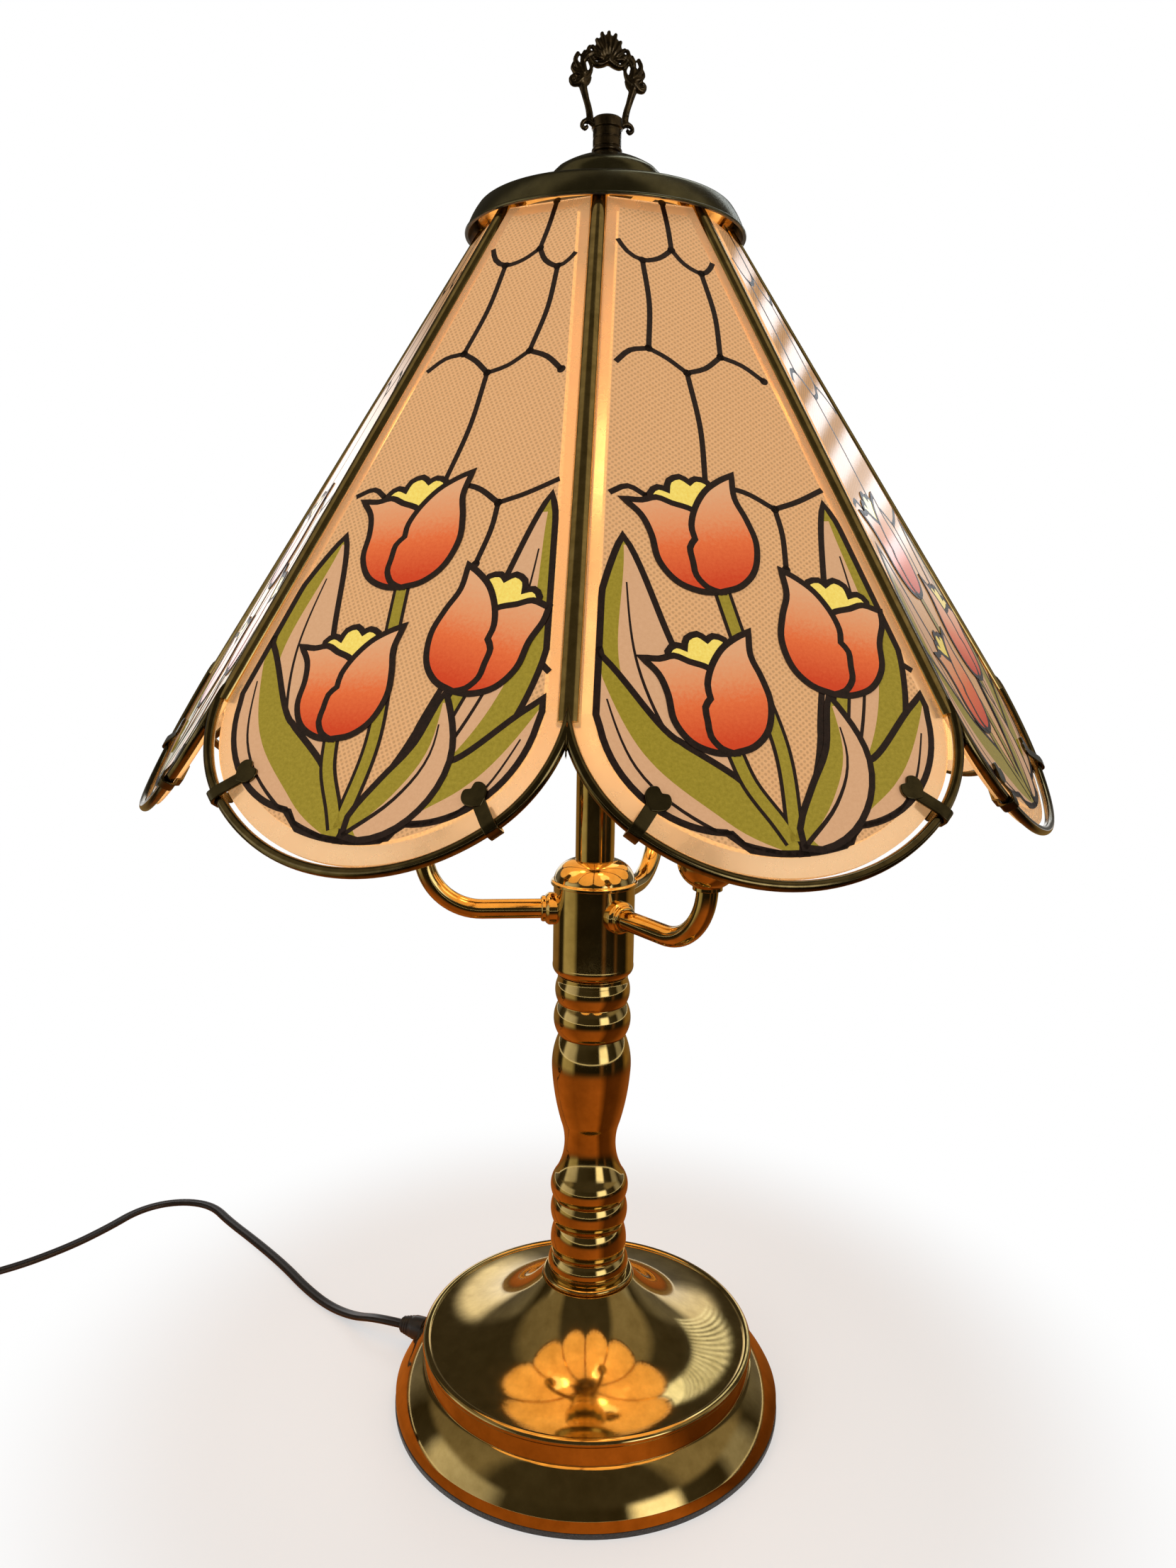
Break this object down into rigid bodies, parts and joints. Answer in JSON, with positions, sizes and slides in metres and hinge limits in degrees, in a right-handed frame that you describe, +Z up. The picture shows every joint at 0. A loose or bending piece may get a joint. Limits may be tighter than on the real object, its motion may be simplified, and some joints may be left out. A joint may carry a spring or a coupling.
{
  "type": "table lamp",
  "caption": "Brass touch table lamp with a flared octagonal shade of printed bevelled glass panels, scrolled finial, turned column and round weighted base.",
  "frame": {"origin": "centre of the base's felt underside, on the table", "axes": "+Z up along the column, -Y towards the front, where a rib of the shade stands; +X to the right seen from the front"},
  "size_m": [0.6155, 0.3382, 0.5465],
  "materials": {
    "polished_brass": "polished and lacquered",
    "dark_brass": "dark antique",
    "printed_glass": "printed with clear bevelled border",
    "bulb_glass": "frosted",
    "steel": "zinc plated",
    "iron": "as cast",
    "black_plastic": "moulded",
    "felt": "felt",
    "cord_vinyl": "satin vinyl",
    "tie": "satin",
    "plug_vinyl": "satin vinyl",
    "blade": "nickel plated"
  },
  "bodies": {
    "lamp": {"base_felt": "felt", "bottom_plate": "steel", "base_weight": "iron", "touch_module": "black_plastic", "base_shell": "polished_brass", "pipe_nuts": "steel", "lamp_pipe": "steel", "neck_ring": "polished_brass", "column_lower": "polished_brass", "column_vase": "polished_brass", "column_upper": "polished_brass", "hub_body": "polished_brass", "hub_dome": "polished_brass", "stem_tube": "polished_brass", "seat_washer": "steel", "stem_stud": "steel", "arm_1": "polished_brass", "arm_2": "polished_brass", "arm_3": "polished_brass", "cup_1": "polished_brass", "cup_2": "polished_brass", "cup_3": "polished_brass", "socket_1": "black_plastic", "socket_2": "black_plastic", "socket_3": "black_plastic", "cord_bushing": "black_plastic", "cord": "cord_vinyl", "cord_coil": "cord_vinyl", "coil_ties": "tie", "plug_body": "plug_vinyl", "plug_blades": "blade"},
    "shade": {"glass_pane_1": "printed_glass", "glass_pane_2": "printed_glass", "glass_pane_3": "printed_glass", "glass_pane_4": "printed_glass", "glass_pane_5": "printed_glass", "glass_pane_6": "printed_glass", "glass_pane_7": "printed_glass", "glass_pane_8": "printed_glass", "hoop_1": "polished_brass", "hoop_2": "polished_brass", "hoop_3": "polished_brass", "hoop_4": "polished_brass", "hoop_5": "polished_brass", "hoop_6": "polished_brass", "hoop_7": "polished_brass", "hoop_8": "polished_brass", "shade_ribs": "polished_brass", "pane_clips": "polished_brass", "shade_spider": "steel", "shade_cap": "dark_brass", "cap_dome": "dark_brass"},
    "finial": {"finial_knob": "dark_brass", "finial_ornament": "dark_brass"},
    "bulb_body_1": {"bulb_1": "bulb_glass"},
    "bulb_body_2": {"bulb_2": "bulb_glass"},
    "bulb_body_3": {"bulb_3": "bulb_glass"}
  },
  "joints": [
    {"name": "shade_swivel", "type": "hinge", "parent": "lamp", "child": "shade", "pos_m": [0, 0, 0.478], "axis": [0, 0, 1], "continuous": true},
    {"name": "finial_turn", "type": "hinge", "parent": "lamp", "child": "finial", "pos_m": [0, 0, 0.5034], "axis": [0, 0, 1], "continuous": true},
    {"name": "bulb_turn_1", "type": "hinge", "parent": "lamp", "child": "bulb_body_1", "pos_m": [-0.06819, -0.01056, 0.258], "axis": [0, 0, 1], "continuous": true},
    {"name": "bulb_turn_2", "type": "hinge", "parent": "lamp", "child": "bulb_body_2", "pos_m": [0.04324, -0.05377, 0.258], "axis": [0, 0, 1], "continuous": true},
    {"name": "bulb_turn_3", "type": "hinge", "parent": "lamp", "child": "bulb_body_3", "pos_m": [0.02495, 0.06433, 0.258], "axis": [0, 0, 1], "continuous": true}
  ]
}
